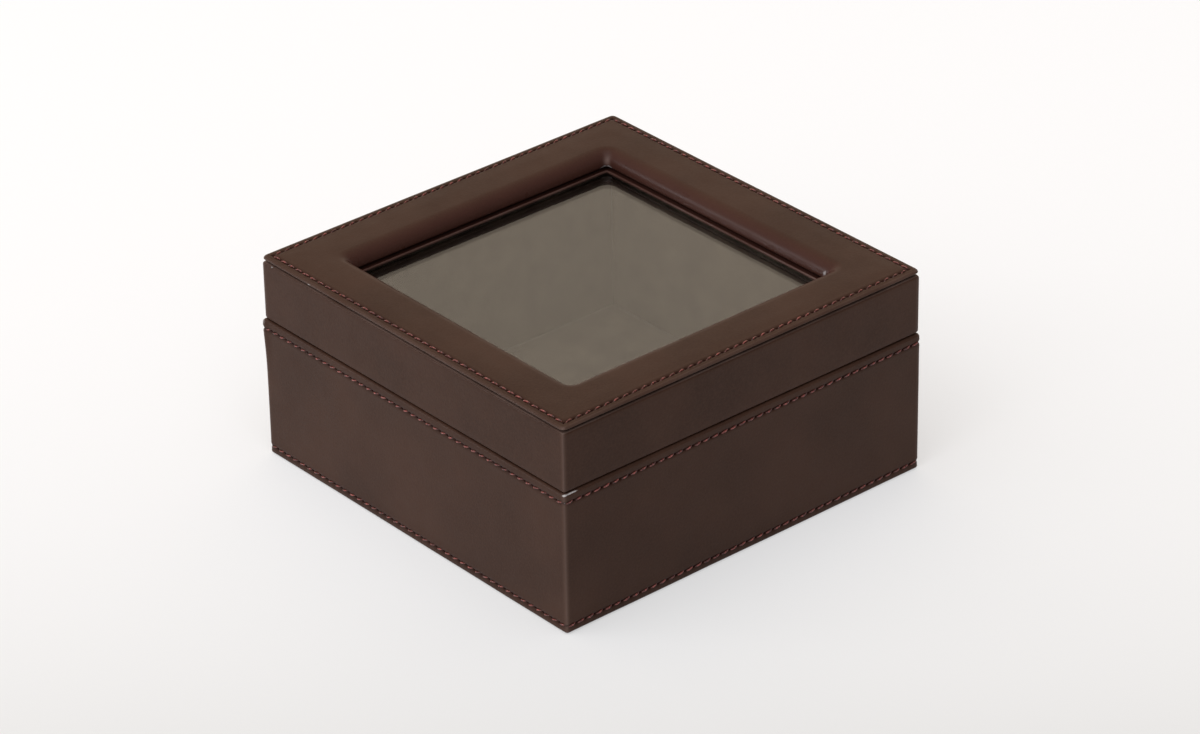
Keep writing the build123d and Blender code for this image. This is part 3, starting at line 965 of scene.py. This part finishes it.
def floor_cushion(suede_finish):
    """Suede-covered pad on the floor: soft edges and a hardly raised middle."""
    mesh = bmesh.new()
    half = pad_high.x - PAD_PLAY
    top, low = pad_high.z, pad_low.z
    bmesh.ops.create_grid(mesh, x_segments=PAD_CELLS, y_segments=PAD_CELLS, size=1)
    for vert in mesh.verts:
        for axis in (0, 1):
            reach = half * (1 - (1 - abs(vert.co[axis])) ** PAD_CROWDING)
            vert.co[axis] = copysign(reach, vert.co[axis])
        inset = half - max(abs(vert.co.x), abs(vert.co.y))
        wave = 0.14 * noise.noise(vert.co / 30) + 0.05 * noise.noise(vert.co / 9)
        vert.co.z = top - PAD_SINK - PAD_EDGE_DROP * exp(-inset) + wave
    border = [edge for edge in mesh.edges if edge.is_boundary]
    for height in ((top + low) / 2, low):
        fresh, border = extruded(mesh, border)
        for vert in fresh:
            vert.co.z = height
    bmesh.ops.contextual_create(mesh, geom=border)
    bmesh.ops.recalc_face_normals(mesh, faces=mesh.faces)
    piece = finished("floor_suede_pad", mesh)
    dress(piece, suede_finish, "base", stands_for=["floor_pad"])


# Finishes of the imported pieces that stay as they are


def dress_packed(finishes):
    """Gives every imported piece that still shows, or lies inside, the finish of its real material."""
    kinds = (
        ("hinge_screws", "screw_brass"),
        ("hinge", "brass"),
        ("retainer", "fibreboard"),
        ("glass", "glass"),
        ("padding", "foam"),
        ("filler_card", "card"),
        ("underside_cover", "felt"),
        ("lining", "suede"),
        ("pad", "suede"),
        ("leather", "leather"),
        ("bezel", "leather"),
    )
    for name, piece in nodes.items():
        slot = next((s for word, s in kinds if word in name), "fibreboard")
        piece.data.materials.clear()
        piece.data.materials.append(finishes[slot])


# Floor and light

FLOOR_SIZE = 6000  # from the middle to an edge
FLOOR_FALLOFF_SHADE = 0.2  # share of painted shade that greys the floor, at the box
FLOOR_FADE = 0.0045  # share of it that is left a metre further from the camera
SHOWN_SHARE = 0.45  # of the floor's look that is its own plain light
SHOWN_LEVEL = 1.12


def compass(azimuth, elevation):
    """Unit direction; azimuth 0 is in front of the box and 90 on its right."""
    a, e = radians(azimuth), radians(elevation)
    return Vector((sin(a) * cos(e), -cos(a) * cos(e), sin(e)))


def add_floor():
    """Pale seamless floor, partly lit by its own colour, with painted shade that greys it near the
    camera.

    That part goes to the camera, to reflections and through glass. The rest takes the lamps,
    and so the object's shadow.
    """
    mesh = bmesh.new()
    bmesh.ops.create_grid(mesh, x_segments=1, y_segments=1, size=FLOOR_SIZE)
    floor_piece = finished("pale_floor", mesh, smooth=False)
    material, tree = bare_material("matt_white_floor")
    place = add(tree, "TexCoord", "Object")
    ahead = (cos(radians(CAMERA_AZIMUTH)), sin(radians(CAMERA_AZIMUTH)), 0)
    away = add(tree, "VectorMath", "Value", {"operation": "DOT_PRODUCT"}, _0=place, _1=ahead)
    # painted shade: the floor greys towards the camera
    fade = add(tree, "Math", settings={"operation": "POWER"}, _0=FLOOR_FADE, _1=away)
    grey = add(tree, "Math", settings={"operation": "MULTIPLY"}, _0=fade, _1=FLOOR_FALLOFF_SHADE)
    colour = add(tree, "Mix", 2, COLOUR, _0=grey, _6=linear("#fbfbfc"), _7=linear("#d2d2d1"))
    lit = add(tree, "BsdfDiffuse", Color=colour)
    shown = add(tree, "Emission", Color=colour, Strength=SHOWN_LEVEL)
    seen = 0.0
    for ray in ("Is Camera Ray", "Is Glossy Ray", "Is Transmission Ray"):
        found = add(tree, "LightPath", ray)
        seen = add(tree, "Math", settings={"operation": "MAXIMUM"}, _0=seen, _1=found)
    share = add(tree, "Math", settings={"operation": "MULTIPLY"}, _0=seen, _1=SHOWN_SHARE)
    surface = add(tree, "MixShader", Fac=share, _1=lit, _2=shown)
    add(tree, "OutputMaterial", Surface=surface)
    floor_piece.data.materials.append(material)


def add_lamp(name, azimuth, elevation, distance, size, level):
    """Soft square lamp aimed at the box; level is the light it puts on a white card facing it."""
    data = bpy.data.lights.new(name, "AREA")
    data.size = size
    data.color = linear("#fbfcff")[:3]
    data.energy = level * pi * pi * distance**2
    lamp = bpy.data.objects.new(name, data)
    back = compass(azimuth, elevation)
    lamp.location = back * distance
    lamp.rotation_mode = "QUATERNION"
    lamp.rotation_quaternion = back.to_track_quat("Z", "Y")
    bpy.context.scene.collection.objects.link(lamp)


def add_world():
    """Studio surroundings: even grey, warm beyond the box and dimmer at its front right."""
    world = bpy.data.worlds.new("studio")
    bpy.context.scene.world = world
    world.use_nodes = True
    tree = world.node_tree
    tree.nodes.clear()
    way = add(tree, "TexCoord", "Generated")
    colour = linear("#bebebe")
    for aim, start, end, code in (
        (compass(140, 28), 0.2, 0.9, "#efddc8"),
        (compass(25, 0), 0.0, 0.9, "#909090"),
    ):
        share = add(tree, "VectorMath", "Value", {"operation": "DOT_PRODUCT"}, _0=way, _1=aim)
        share = add(tree, "MapRange", Value=share, From_Min=start, From_Max=end)
        colour = add(tree, "Mix", 2, COLOUR, _0=share, _6=colour, _7=linear(code))
    surface = add(tree, "Background", Color=colour, Strength=1.0)
    add(tree, "OutputWorld", Surface=surface)


add_camera()
add_floor()
add_world()
add_lamp("overhead_lamp", -50, 65, 4.5, 5.0, 0.5)
add_lamp("left_lamp", -100, 30, 4.0, 4.5, 0.36)
add_lamp("back_left_lamp", -132, 10, 4.0, 1.2, 0.14)

finishes = {
    "leather": smooth_leather(),
    "suede": suede(),
    "felt": felt(),
    "card": grey_card(),
    "fibreboard": fibreboard(),
    "foam": foam(),
    "glass": float_glass(),
    "brass": brass("brushed_brass", "brass", "#c9a45c", 0.35),
    "screw_brass": brass("turned_brass", "screw_brass", "#d1ae68", 0.2),
}
thread = waxed_thread()
dress_packed(finishes)
lid_top_panel(finishes["leather"])
lid_band(finishes["leather"])
base_wrap(finishes["leather"])
window_bezel(finishes["leather"])
stitched_row("lid_top_stitching", LID_SEAM_HALF, SEAM_TOP - SEAM_DEPTH, LID_SEAM_CORNER, 0, 1,
             LID_STITCHES, "lid", thread)
stitched_row("base_upper_stitching", base_half - SEAM_DEPTH, SEAM_UPPER, upright_radius, 1, 0,
             BASE_STITCHES, "base", thread)
stitched_row("base_lower_stitching", base_half - SEAM_DEPTH, SEAM_LOWER, upright_radius, 1, 0,
             BASE_STITCHES, "base", thread)
linings(finishes["suede"])
floor_cushion(finishes["suede"])

bpy.context.scene.view_settings.view_transform = "Standard"
